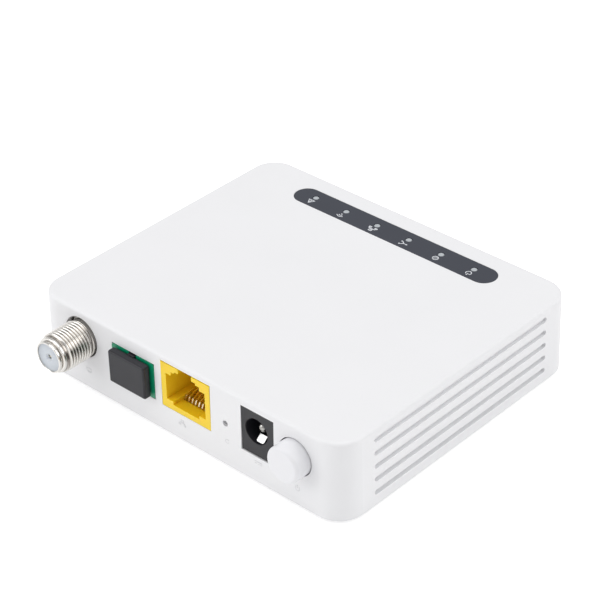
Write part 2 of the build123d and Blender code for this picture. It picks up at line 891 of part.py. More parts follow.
for name, shape in {
    "top_cover": top_cover(),
    "bottom_cover": bottom_cover(),
    "rubber_feet": rubber_feet(),
    "case_screws": case_screws(),
    "board_screws": board_screws(),
    "rating_label": rating_label(),
    "indicator_overlay": indicator_overlay(),
    "light_pipe": light_pipe(),
    "indicator_leds": indicator_leds(),
    "main_board": main_board(),
    "f_connector_body": f_connector_body(),
    "f_insulator": f_insulator(),
    "f_center_contact": f_center_contact(),
    "optical_port_housing": optical_port_housing(),
    "optical_latch_insert": optical_latch_insert(),
    "alignment_sleeve": alignment_sleeve(),
    "optical_module_body": optical_module_body(),
    "laser_can": laser_can(),
    "detector_cans": detector_cans(),
    "optical_leads": optical_leads(),
    "dust_cap": dust_cap(),
    "lan_jack_housing": lan_jack_housing(),
    "lan_jack_contacts": lan_jack_contacts(),
    "lan_transformer": lan_transformer(),
    "transformer_leads": transformer_leads(),
    "dc_jack_housing": dc_jack_housing(),
    "dc_jack_pin": dc_jack_pin(),
    "dc_jack_spring": dc_jack_spring(),
    "dc_jack_switch_terminal": dc_jack_switch_terminal(),
    "power_switch_body": power_switch_body(),
    "power_switch_terminals": power_switch_terminals(),
    "power_switch_plunger": power_switch_plunger(),
    "power_switch_spring": power_switch_spring(),
    "power_button": power_button(),
    "reset_switch_body": reset_switch_body(),
    "reset_switch_frame": reset_switch_frame(),
    "reset_plunger": reset_plunger(),
    "main_chip": main_chip(),
    "thermal_pad": thermal_pad(),
    "heat_sink": heat_sink(),
    "memory_chips": memory_chips(),
    "rf_shield_frame": rf_shield_frame(),
    "rf_shield_lid": rf_shield_lid(),
    "rf_amplifier": rf_amplifier(),
    "power_inductors": power_inductors(),
    "filter_capacitors": filter_capacitors(),
    "voltage_regulators": voltage_regulators(),
    "crystal_can": crystal_can(),
    "chip_parts": chip_parts(),
}.items():
    save(name, shape)
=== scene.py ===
import bmesh
import bpy
import json
import math
from mathutils import Matrix, Quaternion, Vector


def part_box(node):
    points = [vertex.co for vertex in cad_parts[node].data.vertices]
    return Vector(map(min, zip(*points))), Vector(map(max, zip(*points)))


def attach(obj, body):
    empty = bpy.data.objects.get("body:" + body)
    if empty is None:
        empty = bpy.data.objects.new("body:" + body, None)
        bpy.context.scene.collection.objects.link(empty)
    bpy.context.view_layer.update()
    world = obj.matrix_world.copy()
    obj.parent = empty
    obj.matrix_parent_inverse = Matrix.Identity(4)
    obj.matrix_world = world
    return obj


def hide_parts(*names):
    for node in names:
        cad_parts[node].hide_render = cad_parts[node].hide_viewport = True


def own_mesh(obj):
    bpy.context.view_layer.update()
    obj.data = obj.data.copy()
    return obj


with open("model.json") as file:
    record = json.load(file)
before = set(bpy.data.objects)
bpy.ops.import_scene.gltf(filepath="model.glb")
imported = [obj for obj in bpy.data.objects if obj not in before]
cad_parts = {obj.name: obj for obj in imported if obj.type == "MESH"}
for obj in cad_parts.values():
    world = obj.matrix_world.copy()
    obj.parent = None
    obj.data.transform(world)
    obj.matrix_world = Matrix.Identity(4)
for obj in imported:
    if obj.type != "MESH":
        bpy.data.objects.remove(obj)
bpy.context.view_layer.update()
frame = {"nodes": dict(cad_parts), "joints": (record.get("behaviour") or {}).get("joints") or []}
nodes = frame["nodes"]
mm = 0.001
print("frame loaded:", len(nodes), "nodes")

# places that several pieces share, read off the frame
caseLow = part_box("top_cover")[0]
panelY = caseLow.y  # bottom edge of the connector panel
panelLean = math.radians(0.9)  # the panel leans back as it rises
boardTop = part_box("main_board")[1].z
boardUnder = boardTop - 1.6 * mm
coaxLow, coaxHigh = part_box("f_insulator")
coaxMiddle = (coaxLow + coaxHigh) / 2
coaxReach = (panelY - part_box("f_connector_body")[0].y) / mm  # how far the connector stands out


# shader maths: a wire is one output, and sums on wires add Math nodes
class Wire:
    def __init__(self, socket):
        self.socket = socket
        self.tree = socket.id_data

    def node(self, kind, settings=None, feeds=None, out=0):
        made = self.tree.nodes.new("ShaderNode" + kind)
        for name, value in (settings or {}).items():
            setattr(made, name, value)
        for name, value in (feeds or {}).items():
            spot = made.inputs[name]
            if isinstance(value, Wire):
                self.tree.links.new(value.socket, spot)
            else:
                spot.default_value = value
        return Wire(made.outputs[out])

    def sum(self, kind, first, second=0.0):
        return self.node("Math", {"operation": kind}, {0: first, 1: second})

    def __add__(self, other): return self.sum("ADD", self, other)
    def __radd__(self, other): return self.sum("ADD", other, self)
    def __sub__(self, other): return self.sum("SUBTRACT", self, other)
    def __rsub__(self, other): return self.sum("SUBTRACT", other, self)
    def __mul__(self, other): return self.sum("MULTIPLY", self, other)
    def __rmul__(self, other): return self.sum("MULTIPLY", other, self)
    def __truediv__(self, other): return self.sum("DIVIDE", self, other)
    def __rtruediv__(self, other): return self.sum("DIVIDE", other, self)
    def __mod__(self, other): return self.sum("FLOORED_MODULO", self, other)
    def __rmod__(self, other): return self.sum("FLOORED_MODULO", other, self)
    def __lt__(self, other): return self.sum("LESS_THAN", self, other)
    def __gt__(self, other): return self.sum("GREATER_THAN", self, other)
    def __abs__(self): return self.sum("ABSOLUTE", self)

    def blend(self, low, high):  # a colour between two, by this mask
        tones = {0: self}
        for slot, tone in ((6, low), (7, high)):  # the node's colour sockets
            tones[slot] = tone if isinstance(tone, Wire) else (*tone, 1)
        return self.node("Mix", {"data_type": "RGBA"}, tones, 2)

    def axis(self, letter):
        return self.node("SeparateXYZ", {}, {0: self}, "XYZ".index(letter))

    def stretched(self, scale):
        return self.node("Mapping", {}, {"Vector": self, "Scale": scale})

    def snapped(self, step):  # one value for each block of this size, in millimetres
        steps = tuple(side * mm if side else 1 for side in step)
        block = self.node("VectorMath", {"operation": "SNAP"}, {0: self, 1: steps})
        return self.node("TexWhiteNoise", {}, {"Vector": block})

    def fromAxis(self):  # distance from the coaxial connector's axis, in metres
        centred = self.node("Mapping", {}, {"Vector": self, "Location": (-coaxMiddle.x, 0, -coaxMiddle.z)})
        return self.node("VectorMath", {"operation": "LENGTH"}, {0: centred.stretched((1, 0, 1))}, 1)

    def noise(self, size, detail=2.0, rough=0.5):  # size of one feature in millimetres
        feeds = {"Vector": self, "Scale": 1 / (size * mm), "Detail": detail, "Roughness": rough}
        return self.node("TexNoise", {}, feeds)

    def cells(self, size):
        return self.node("TexVoronoi", {}, {"Vector": self, "Scale": 1 / (size * mm)})

    def bump(self, depth):  # depth in millimetres
        return self.node("Bump", {}, {"Height": self, "Distance": depth * mm})


def newFinish(name, **fixed):
    finish = bpy.data.materials.new(name)
    finish.use_nodes = True
    tree = finish.node_tree
    skin = tree.nodes["Principled BSDF"]
    for label, value in fixed.items():
        skin.inputs[label.replace("_", " ")].default_value = value
    place = Wire(tree.nodes.new("ShaderNodeTexCoord").outputs["Object"])
    return finish, skin, place


def feed(skin, **wires):
    for label, wire in wires.items():
        wire.tree.links.new(wire.socket, skin.inputs[label.replace("_", " ")])


# moulded plastics: cloudy flow tone, spark-eroded grain, small changes of gloss
mouldings = {
    "caseShell": dict(
        low=(0.785, 0.785, 0.80), high=(0.815, 0.815, 0.83),
        rough=0.42, swing=0.16, grain=0.22, depth=0.006, flow=18,
    ),
    "buttonCap": dict(
        low=(0.775, 0.775, 0.80), high=(0.80, 0.80, 0.825),
        rough=0.3, swing=0.1, grain=0.3, depth=0.003, flow=5,
    ),
    "portGreen": dict(
        low=(0.001, 0.235, 0.110), high=(0.004, 0.32, 0.155),
        rough=0.3, swing=0.12, grain=0.25, depth=0.004, flow=4,
    ),
    "latchCream": dict(
        low=(0.68, 0.68, 0.64), high=(0.76, 0.76, 0.72),
        rough=0.4, swing=0.1, grain=0.2, depth=0.003, flow=3,
    ),
    "capRubbery": dict(
        low=(0.004, 0.004, 0.008), high=(0.014, 0.014, 0.021),
        rough=0.36, swing=0.16, grain=0.16, depth=0.010, flow=3, sheen=0.46,
    ),
    "jackYellow": dict(
        low=(0.88, 0.60, 0.012), high=(0.94, 0.655, 0.020),
        rough=0.3, swing=0.12, grain=0.28, depth=0.004, flow=4,
        glow={"Weight": 0.35, "Radius": (1.0, 0.7, 0.12), "Scale": 1.2 * mm},
    ),
    "jackDark": dict(
        low=(0.008, 0.008, 0.011), high=(0.018, 0.018, 0.023),
        rough=0.4, swing=0.2, grain=0.2, depth=0.007, flow=3, sheen=0.46,
    ),
    "switchBlack": dict(
        low=(0.018, 0.018, 0.020), high=(0.030, 0.030, 0.032),
        rough=0.42, swing=0.15, grain=0.2, depth=0.005, flow=3,
    ),
    "plungerMilk": dict(
        low=(0.66, 0.66, 0.63), high=(0.74, 0.74, 0.71),
        rough=0.38, swing=0.12, grain=0.25, depth=0.004, flow=3,
    ),
    "footRubber": dict(
        low=(0.030, 0.030, 0.032), high=(0.050, 0.050, 0.053),
        rough=0.8, swing=0.15, grain=0.35, depth=0.020, flow=2,
    ),
    "padSilicone": dict(
        low=(0.30, 0.34, 0.40), high=(0.38, 0.42, 0.47),
        rough=0.7, swing=0.1, grain=0.3, depth=0.015, flow=2,
    ),
    "filmDark": dict(
        low=(0.030, 0.034, 0.048), high=(0.038, 0.043, 0.060),
        rough=0.34, swing=0.1, grain=0.12, depth=0.003, flow=10,
    ),
    "ferrite": dict(
        low=(0.050, 0.050, 0.054), high=(0.11, 0.11, 0.115),
        rough=0.6, swing=0.25, grain=0.25, depth=0.02, flow=1,
    ),
    "markInk": dict(
        low=(0.74, 0.76, 0.80), high=(0.84, 0.86, 0.90),
        rough=0.5, swing=0.1, grain=0.15, depth=0.004, flow=1,
    ),
    "panelInk": dict(
        low=(0.69, 0.69, 0.71), high=(0.74, 0.74, 0.76),
        rough=0.5, swing=0.1, grain=0.15, depth=0.004, flow=1,
    ),
    "boardInk": dict(
        low=(0.72, 0.72, 0.70), high=(0.85, 0.85, 0.83),
        rough=0.55, swing=0.1, grain=0.12, depth=0.004, flow=1,
    ),
    "labelInk": dict(
        low=(0.22, 0.22, 0.23), high=(0.30, 0.30, 0.31),
        rough=0.6, swing=0.1, grain=0.12, depth=0.003, flow=1,
    ),
}
mouldMix = {"flowTone": 0.7, "grainTone": 0.3, "pitSize": 1.6, "pitDepth": 0.3, "flowGloss": 0.5}


def moulded(name, look):
    finish, skin, place = newFinish(name, IOR=1.5, Specular_IOR_Level=look.get("sheen", 0.5))
    for label, value in look.get("glow", {}).items():  # light that wanders through thin walls
        skin.inputs["Subsurface " + label].default_value = value
    flow = place.noise(look["flow"], 3)
    grain = place.noise(look["grain"], 3, 0.6)
    pits = place.cells(look["grain"] * mouldMix["pitSize"])
    tone = flow * mouldMix["flowTone"] + grain * mouldMix["grainTone"]
    feed(skin, Base_Color=tone.blend(look["low"], look["high"]))
    swing = look["swing"]
    least = look["rough"] - swing * (1 + mouldMix["flowGloss"]) / 2
    feed(skin, Roughness=grain * swing + flow * swing * mouldMix["flowGloss"] + least)
    relief = grain * (1 - mouldMix["pitDepth"]) + pits * mouldMix["pitDepth"]
    feed(skin, Normal=relief.bump(look["depth"]))
    return finish


# metals: plated or bare, with scratches along one direction and dull patches
metals = {
    "nickelPlate": dict(
        low=(0.66, 0.64, 0.61), high=(0.90, 0.88, 0.845),
        rough=0.2, swing=0.12, lines=(6, 120, 6), depth=0.003,
    ),
    # the thread's nickel, with painted shade in its roots and grooves
    "nickelThread": dict(
        low=(0.66, 0.64, 0.61), high=(0.90, 0.88, 0.845),
        rough=0.22, swing=0.12, lines=(6, 120, 6), depth=0.003, grimy=True,
    ),
    # the jack pin's nickel, painted darker as the shade and dark reflection of the hole it sits in
    "pinNickelShaded": dict(
        low=(0.30, 0.295, 0.28), high=(0.52, 0.51, 0.49),
        rough=0.2, swing=0.1, lines=(6, 40, 6), depth=0.003,
    ),
    "leafSteel": dict(
        low=(0.42, 0.42, 0.42), high=(0.80, 0.80, 0.79),
        rough=0.24, swing=0.12, lines=(20, 1, 20), depth=0.002,
    ),
    "goldPlate": dict(
        low=(0.76, 0.60, 0.34), high=(0.95, 0.83, 0.58),
        rough=0.24, swing=0.14, lines=(30, 4, 30), depth=0.002,
    ),
    "goldCan": dict(
        low=(0.62, 0.46, 0.20), high=(0.82, 0.64, 0.34),
        rough=0.24, swing=0.16, lines=(20, 20, 6), depth=0.003,
    ),
    "tinPlate": dict(
        low=(0.66, 0.66, 0.65), high=(0.86, 0.86, 0.84),
        rough=0.26, swing=0.2, lines=(10, 2, 10), depth=0.004,
    ),
    "shieldTin": dict(
        low=(0.52, 0.52, 0.51), high=(0.70, 0.70, 0.68),
        rough=0.32, swing=0.2, lines=(1.2, 24, 1.2), depth=0.005,
    ),
    "zincScrew": dict(
        low=(0.48, 0.49, 0.50), high=(0.68, 0.69, 0.70),
        rough=0.3, swing=0.2, lines=(8, 8, 8), depth=0.004,
    ),
    "moduleSteel": dict(
        low=(0.42, 0.41, 0.39), high=(0.60, 0.585, 0.56),
        rough=0.34, swing=0.18, lines=(3, 30, 3), depth=0.006,
    ),
    "sinkAlloy": dict(
        low=(0.58, 0.58, 0.59), high=(0.74, 0.74, 0.75),
        rough=0.4, swing=0.2, lines=(40, 1, 12), depth=0.008,
    ),
    "canAlloy": dict(
        low=(0.62, 0.63, 0.65), high=(0.74, 0.75, 0.76),
        rough=0.3, swing=0.1, lines=(2, 2, 12), depth=0.002,
    ),
    "solder": dict(
        low=(0.50, 0.50, 0.51), high=(0.72, 0.72, 0.73),
        rough=0.22, swing=0.25, lines=(4, 4, 4), depth=0.01,
    ),
}
scratch = {"length": 8, "patch": 2.5, "patchTone": 0.6, "scratchTone": 0.4, "patchDepth": 0.2}
paintedGrooveShade = {  # painted shade for the thread's roots and the nose's grooves; millimetres, about the coaxial connector's axis
    "tone": (0.34, 0.31, 0.28),
    "full": 4.15,  # radius down to which the thread is painted in shade all over
    "unshaded": 4.62,  # radius of the crests, which get no painted shade
    "threadEnd": 1.9,  # back from the tip, as the next two
    "lines": ((0.95, 0.08), (2.0, 0.06)),  # place and half width of a groove painted in shade
    "least": 0.75,
    "patchy": 0.4,
}


# paints shade into the thread's roots and the nose's grooves, where these recesses are shaded
def paintGrooveShade(place, patches, tone):
    radius = place.fromAxis() / mm
    ends = {0: radius, 1: paintedGrooveShade["full"], 2: paintedGrooveShade["unshaded"], 3: 1.0, 4: 0.0}
    deep = place.node("MapRange", {"interpolation_type": "SMOOTHSTEP"}, ends)
    height = panelY / mm - place.axis("Y") / mm
    threaded = (height > 0.0) * (height < coaxReach - paintedGrooveShade["threadEnd"])
    first, second = (abs(height - (coaxReach - back)) < half for back, half in paintedGrooveShade["lines"])
    grooves = first + second
    paintedShade = (deep * threaded + grooves) * (paintedGrooveShade["least"] + patches * paintedGrooveShade["patchy"])
    return paintedShade.blend(tone, paintedGrooveShade["tone"])


def plated(name, look):
    finish, skin, place = newFinish(name, Metallic=1.0)
    scratches = place.stretched(look["lines"]).noise(scratch["length"], 4, 0.65)
    patches = place.noise(scratch["patch"], 3)
    mix = patches * scratch["patchTone"] + scratches * scratch["scratchTone"]
    tone = mix.blend(look["low"], look["high"])
    # painted shade in the thread's roots and the nose's grooves
    if "grimy" in look:
        tone = paintGrooveShade(place, patches, tone)
    feed(skin, Base_Color=tone)
    swing = look["swing"]
    feed(skin, Roughness=scratches * swing + patches * swing + (look["rough"] - swing))
    feed(skin, Normal=(scratches + patches * scratch["patchDepth"]).bump(look["depth"]))
    return finish


# fine-grained stuff: specks or fibres, over slow clouds where it has them
grained = {
    "chipEpoxy": dict(  # moulded epoxy, speckled with silica
        low=(0.012, 0.012, 0.013), high=(0.042, 0.042, 0.044), fixed={"IOR": 1.5},
        speck=(0.12, 3, 0.7), cloud=3, share=0.3, rough=0.42, swing=0.25, depth=0.008,
    ),
    "sleeveCeramic": dict(  # polished zirconia
        low=(0.80, 0.79, 0.75), high=(0.88, 0.87, 0.84), fixed={"IOR": 2.1},
        speck=(0.4, 2), rough=0.1, swing=0.08, depth=0.002,
    ),
    "labelStock": dict(  # coated polyester, slightly uneven
        low=(0.70, 0.70, 0.70), high=(0.80, 0.80, 0.79), fixed={"IOR": 1.45},
        lines=(1, 3, 1), speck=(0.3, 3), cloud=6, share=0.5, rough=0.35, swing=0.15, depth=0.004,
    ),
    "pipeAcrylic": dict(  # frosted light guide
        low=(0.44, 0.47, 0.50), high=(0.58, 0.61, 0.64), fixed={"IOR": 1.49, "Transmission_Weight": 0.15},
        speck=(0.25, 3), rough=0.25, swing=0.2, depth=0.01,
    ),
}


def specked(name, look):
    finish, skin, place = newFinish(name, **look["fixed"])
    along = place.stretched(look["lines"]) if "lines" in look else place
    speck = tone = along.noise(*look["speck"])
    if "cloud" in look:
        tone = speck * (1 - look["share"]) + place.noise(look["cloud"]) * look["share"]
    feed(skin, Base_Color=tone.blend(look["low"], look["high"]))
    feed(skin, Roughness=speck * look["swing"] + look["rough"])
    feed(skin, Normal=speck.bump(look["depth"]))
    return finish


# green mask over copper tracks and pours, with small round vias
maskLook = {
    "low": (0.006, 0.075, 0.030), "high": (0.020, 0.165, 0.062),
    "gold": (0.62, 0.46, 0.16), "hole": (0.01, 0.012, 0.01),
    "patch": 4.2,  # tracks run one way, the other way or not at all in a square of this side
    "oneWay": 0.36, "otherWay": 0.64,
    "pitch": 0.7, "track": 0.16,  # half a track's width, as a share of the pitch
    "pour": 9, "pourEdge": 0.56,
    "viaGap": 2.3, "ringRadius": 0.13, "holeRadius": 0.06,  # radii as shares of the gap
    "weave": 0.35, "weaveTone": 0.12, "rough": 0.22, "swing": 0.12, "depth": 0.025,
}


def circuitBoard(name, look):
    finish, skin, place = newFinish(name, IOR=1.5)
    way = place.snapped((look["patch"], look["patch"], 0))
    across, along = (
        abs(place.axis(letter) / (look["pitch"] * mm) % 1.0 - 0.5) < look["track"] for letter in "XY"
    )
    copper = (way < look["oneWay"]) * across + (way > look["otherWay"]) * along
    pour = place.noise(look["pour"], 1) > look["pourEdge"]
    vias = place.cells(look["viaGap"])
    ring = vias < look["ringRadius"]
    hole = vias < look["holeRadius"]
    weave = place.stretched((1, 1, 0)).noise(look["weave"])
    green = (copper * 0.5 + pour * 0.5 + weave * look["weaveTone"]).blend(look["low"], look["high"])
    feed(skin, Base_Color=hole.blend(ring.blend(green, look["gold"]), look["hole"]))
    feed(skin, Metallic=ring * 0.8)
    feed(skin, Roughness=weave * look["swing"] + look["rough"])
    feed(skin, Normal=(copper + pour * 0.8 + ring).bump(look["depth"]))
    return finish


# small ceramic parts: tan capacitors and dark resistors, block by block
chipLook = {
    "tan": (0.34, 0.22, 0.11), "dark": (0.035, 0.035, 0.04), "fleck": (0.55, 0.45, 0.34),
    "block": (1.6, 2.2, 0), "darkShare": 0.6, "speck": 0.2, "rough": 0.3, "swing": 0.2, "depth": 0.006,
}


def ceramicChips(name, look):
    finish, skin, place = newFinish(name, IOR=1.6)
    speck = place.noise(look["speck"])
    body = (place.snapped(look["block"]) > look["darkShare"]).blend(look["tan"], look["dark"])
    feed(skin, Base_Color=(speck * 0.5).blend(body, look["fleck"]))
    feed(skin, Roughness=speck * look["swing"] + look["rough"])
    feed(skin, Normal=speck.bump(look["depth"]))
    return finish


# indicator lamp: white carrier under a yellow lens
lampLook = {
    "low": (0.66, 0.66, 0.63), "high": (0.76, 0.76, 0.73), "lens": (0.78, 0.66, 0.22),
    "carrierHeight": 0.35, "grain": 0.15, "rough": 0.5, "lensPolish": 0.25, "swing": 0.1, "depth": 0.004,
}


def lampBody(name, look):
    finish, skin, place = newFinish(name, IOR=1.5)
    grain = place.noise(look["grain"])
    lens = place.axis("Z") > (boardTop + look["carrierHeight"] * mm)
    feed(skin, Base_Color=lens.blend(grain.blend(look["low"], look["high"]), look["lens"]))
    feed(skin, Roughness=look["rough"] - lens * look["lensPolish"] + grain * look["swing"])
    feed(skin, Normal=grain.bump(look["depth"]))
    return finish


# connector's bluish white disc, turned in fine rings about its own axis
discLook = {
    "middle": (0.63, 0.665, 0.71), "rim": (0.46, 0.495, 0.54), "radius": 3.2,
    "ring": 0.28, "cloud": 1.6, "cloudTone": 0.4, "rough": 0.28, "swing": 0.15, "depth": 0.006,
    "glow": 0.15, "glowRadius": (0.6 * mm, 0.7 * mm, 0.9 * mm),
}


def turnedDisc(name, look):
    finish, skin, place = newFinish(
        name, IOR=1.45, Subsurface_Weight=look["glow"], Subsurface_Radius=look["glowRadius"], Subsurface_Scale=1.0,
    )
    radius = place.fromAxis()
    rings = place.node("Math", {"operation": "SINE"}, {0: radius * (2 * math.pi / (look["ring"] * mm))})
    cloud = place.noise(look["cloud"])
    edge = radius / (look["radius"] * mm)
    tone = cloud * look["cloudTone"] + edge * edge * (1 - look["cloudTone"])
    feed(skin, Base_Color=tone.blend(look["middle"], look["rim"]))
    feed(skin, Roughness=cloud * look["swing"] + look["rough"])
    feed(skin, Normal=(rings * 0.5 + cloud * 0.4).bump(look["depth"]))
    return finish


finishes = {
    "boardMask": circuitBoard("boardMask", maskLook),
    "chipCeramic": ceramicChips("chipCeramic", chipLook),
    "lampBody": lampBody("lampBody", lampLook),
    "dielectric": turnedDisc("dielectric", discLook),
}
for maker, looks in ((moulded, mouldings), (plated, metals), (specked, grained)):
    finishes.update({name: maker(name, look) for name, look in looks.items()})

wornBy = {
    "caseShell": "top_cover bottom_cover",
    "footRubber": "rubber_feet",
    "zincScrew": "case_screws board_screws",
    "labelStock": "rating_label",
    "filmDark": "indicator_overlay",
    "pipeAcrylic": "light_pipe",
    "lampBody": "indicator_leds",
    "boardMask": "main_board",
    "nickelPlate": "f_connector_body",
    "pinNickelShaded": "dc_jack_pin",
    "leafSteel": "dc_jack_spring",
    "dielectric": "f_insulator",
    "goldPlate": "f_center_contact optical_leads lan_jack_contacts",
    "portGreen": "optical_port_housing",
    "latchCream": "optical_latch_insert",
    "sleeveCeramic": "alignment_sleeve",
    "moduleSteel": "optical_module_body",
    "goldCan": "laser_can detector_cans",
    "capRubbery": "dust_cap",
    "jackYellow": "lan_jack_housing",
    "chipEpoxy": "lan_transformer main_chip memory_chips rf_amplifier voltage_regulators",
    "tinPlate": (
        "transformer_leads dc_jack_switch_terminal power_switch_terminals "
        "power_switch_spring reset_switch_frame"
    ),
    "jackDark": "dc_jack_housing",
    "switchBlack": "power_switch_body reset_switch_body",
    "plungerMilk": "power_switch_plunger reset_plunger",
    "buttonCap": "power_button",
    "padSilicone": "thermal_pad",
    "sinkAlloy": "heat_sink",
    "shieldTin": "rf_shield_frame rf_shield_lid crystal_can",
    "ferrite": "power_inductors",
    "canAlloy": "filter_capacitors",
    "chipCeramic": "chip_parts",
}
for name, group in wornBy.items():
    for node in group.split():
        for slot in nodes[node].material_slots:
            slot.material = finishes[name]
print("finishes:", len(finishes), "made,", sum(len(group.split()) for group in wornBy.values()), "nodes dressed")


# making pieces
weld = 0.0005 * mm  # points nearer than this are one


def newPiece(name, points, edges, faces):  # points in millimetres
    mesh = bpy.data.meshes.new(name)
    mesh.from_pydata([Vector(point) * mm for point in points], edges, faces)
    piece = bpy.data.objects.new(name, mesh)
    bpy.context.scene.collection.objects.link(piece)
    return piece


def addStep(piece, kind, **settings):
    step = piece.modifiers.new(kind.lower(), kind)
    for name, value in settings.items():
        setattr(step, name, value)


def bakeStack(piece):
    bpy.context.view_layer.update()
    seen = piece.evaluated_get(bpy.context.evaluated_depsgraph_get())
    mesh = bpy.data.meshes.new_from_object(seen)
    piece.modifiers.clear()
    piece.data = mesh
    return piece


def joined(name, parts):
    mesh = bmesh.new()
    for part in parts:
        mesh.from_mesh(part.data)
        bpy.data.objects.remove(part)
    piece = newPiece(name, [], [], [])
    mesh.to_mesh(piece.data)
    mesh.free()
    return piece


def outward(piece):  # closed shells only
    mesh = bmesh.new()
    mesh.from_mesh(piece.data)
    bmesh.ops.remove_doubles(mesh, verts=mesh.verts, dist=weld)
    bmesh.ops.holes_fill(mesh, edges=mesh.edges, sides=0)
    bmesh.ops.recalc_face_normals(mesh, faces=mesh.faces)
    mesh.to_mesh(piece.data)
    mesh.free()
    return piece


def dressed(piece, finish, body, angle=35):
    piece.data.materials.clear()
    piece.data.materials.append(finishes[finish])
    piece.data.shade_smooth()
    piece.data.set_sharp_from_angle(angle=math.radians(angle))
    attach(piece, body)
    return piece


def outlined(name, profile):  # closed profile of (radius, height)
    count = len(profile)
    loop = [(at, (at + 1) % count) for at in range(count)]
    return newPiece(name, [(radius, 0, height) for radius, height in profile], loop, [])


def turned(name, profile, steps):  # spun about Z
    piece = outlined(name, profile)
    addStep(piece, "SCREW", steps=steps, render_steps=steps, use_merge_vertices=True, merge_threshold=weld)
    return outward(bakeStack(piece))


def coiled(name, profile, look, run=0):  # wound about Z, rising from and sinking to its root over a run of steps
    steps, turns = look["steps"], look["turns"]
    piece = outlined(name, profile)
    addStep(
        piece, "SCREW", steps=steps, render_steps=steps, iterations=turns,
        screw_offset=look["pitch"] * mm, use_merge_vertices=False,
    )
    bakeStack(piece)
    if run:
        last = turns * steps
        root = profile[0][0] * mm
        for vert in piece.data.vertices:
            at = vert.index // len(profile)
            keep = min(1.0, at / run, (last - at) / run)
            radius = math.hypot(vert.co.x, vert.co.y)
            goal = root + (radius - root) * keep
            vert.co.x *= goal / radius
            vert.co.y *= goal / radius
    return outward(piece)


def outwardFrom(x, y, z):  # local +Z points out of the connector panel
    return Matrix.Translation((x, y, z)) @ Matrix.Rotation(math.radians(90), 4, "X")


def squareTube(name, size, hole, rise, bevel):  # block with a round bore along Y, softened at its edges
    halfX, halfY, halfZ = (side / 2 for side in size)
    ring = 48
    angles = [2 * math.pi * (at + 0.5) / ring for at in range(ring)]
    points = []
    for y in (-halfY, halfY):
        for angle in angles:
            points.append((hole * math.cos(angle), y, rise + hole * math.sin(angle)))
        for angle in angles:
            reach = max(abs(math.cos(angle)), abs(math.sin(angle)))
            points.append((halfX * math.cos(angle) / reach, y, halfZ * math.sin(angle) / reach))
    faces = []
    for at in range(ring):
        after = (at + 1) % ring
        faces.append((at, after, ring + after, ring + at))
        faces.append((2 * ring + at, 3 * ring + at, 3 * ring + after, 2 * ring + after))
        faces.append((at, 2 * ring + at, 2 * ring + after, after))
        faces.append((ring + at, ring + after, 3 * ring + after, 3 * ring + at))
    piece = outward(newPiece(name, points, [], faces))
    addStep(piece, "BEVEL", width=bevel * mm, segments=3, limit_method="ANGLE", angle_limit=math.radians(50))
    return bakeStack(piece)


# threaded coaxial connector: turned barrel, wound thread, square block with legs
coax = {
    "bore": 3.4,
    "chamfer": 0.08,
    "crest": 4.715,
    "pitch": 0.794,
    "turns": 9,
    "steps": 72,
    "threadStart": 0.42,
    "threadRun": 14,
    "nose": [  # radius, and place back from the tip: rolled lip, neck, collar, groove
        (3.66, 0), (3.76, -0.05), (3.81, -0.16), (3.81, -0.70), (3.74, -0.82), (3.66, -0.88), (3.66, -1.02),
        (3.84, -1.06), (4.10, -1.10), (4.24, -1.20), (4.28, -1.34), (4.28, -1.78), (4.20, -1.90),
        (4.08, -1.94), (4.08, -2.06), (4.22, -2.14),
    ],
    "shank": [(4.22, 0.2), (4.45, 0.0), (4.45, -3.0), (4.0, -3.0), (4.0, -12.0)],  # radius, and place from the panel
    "flank": [(4.17, 0.37), (4.32, 0.28), (4.60, 0.13), (4.69, 0.075)],  # half of a thread's tooth
    "block": {"width": 11.0, "front": 2.2, "roof": 5.3, "hole": 3.95, "bevel": 0.35},
    "leg": [(0, 0.3), (0.7, 0.3), (0.7, -2.5), (0.5, -2.8), (0, -2.8)],
    "legs": [(side * 4.2, depth) for side in (-1, 1) for depth in (4.0, 10.5)],  # across, and in from the panel
}


def makeCoax():
    x, z = coaxMiddle.x, coaxMiddle.z
    back = (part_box("f_connector_body")[1].y - panelY) / mm
    profile = [
        (coax["bore"], coax["shank"][-1][1]),
        (coax["bore"], coaxReach - coax["chamfer"]),
        (coax["bore"] + coax["chamfer"], coaxReach),
        *((radius, coaxReach + place) for radius, place in coax["nose"]),
        *coax["shank"],
    ]
    barrel = turned("coaxBarrel", profile, coax["steps"])
    half = coax["flank"]
    tooth = [*half, (coax["crest"], 0.0), *((radius, -height) for radius, height in reversed(half))]
    tooth = [(radius, height + coax["threadStart"]) for radius, height in tooth]
    thread = coiled("coaxThread", tooth, coax, coax["threadRun"])
    for part in (barrel, thread):
        part.data.transform(outwardFrom(x, panelY, z))
    look = coax["block"]
    size = (look["width"], back - look["front"], (z - boardTop) / mm + look["roof"])
    middle = Vector((x, panelY + (look["front"] + back) / 2 * mm, boardTop + size[2] / 2 * mm))
    block = squareTube("coaxBlock", size, look["hole"], (z - middle.z) / mm, look["bevel"])
    block.data.transform(Matrix.Translation(middle))
    legs = []
    for across, depth in coax["legs"]:
        leg = turned("coaxLeg", coax["leg"], 20)
        leg.data.transform(Matrix.Translation((x + across * mm, panelY + depth * mm, boardTop)))
        legs.append(leg)
    piece = joined("coaxConnector", [barrel, thread, block, *legs])
    dressed(piece, "nickelThread", "case", 38)
    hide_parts("f_connector_body")


makeCoax()

# sprung fingers that grip the cable's wire, at the mouth of the centre contact
fingers = [  # radius, and place out from the contact's mouth
    (0.10, 0.30), (0.16, 0.36), (0.42, 0.05), (0.44, -0.10), (0.44, -0.90), (0.37, -0.90), (0.37, -0.05),
]


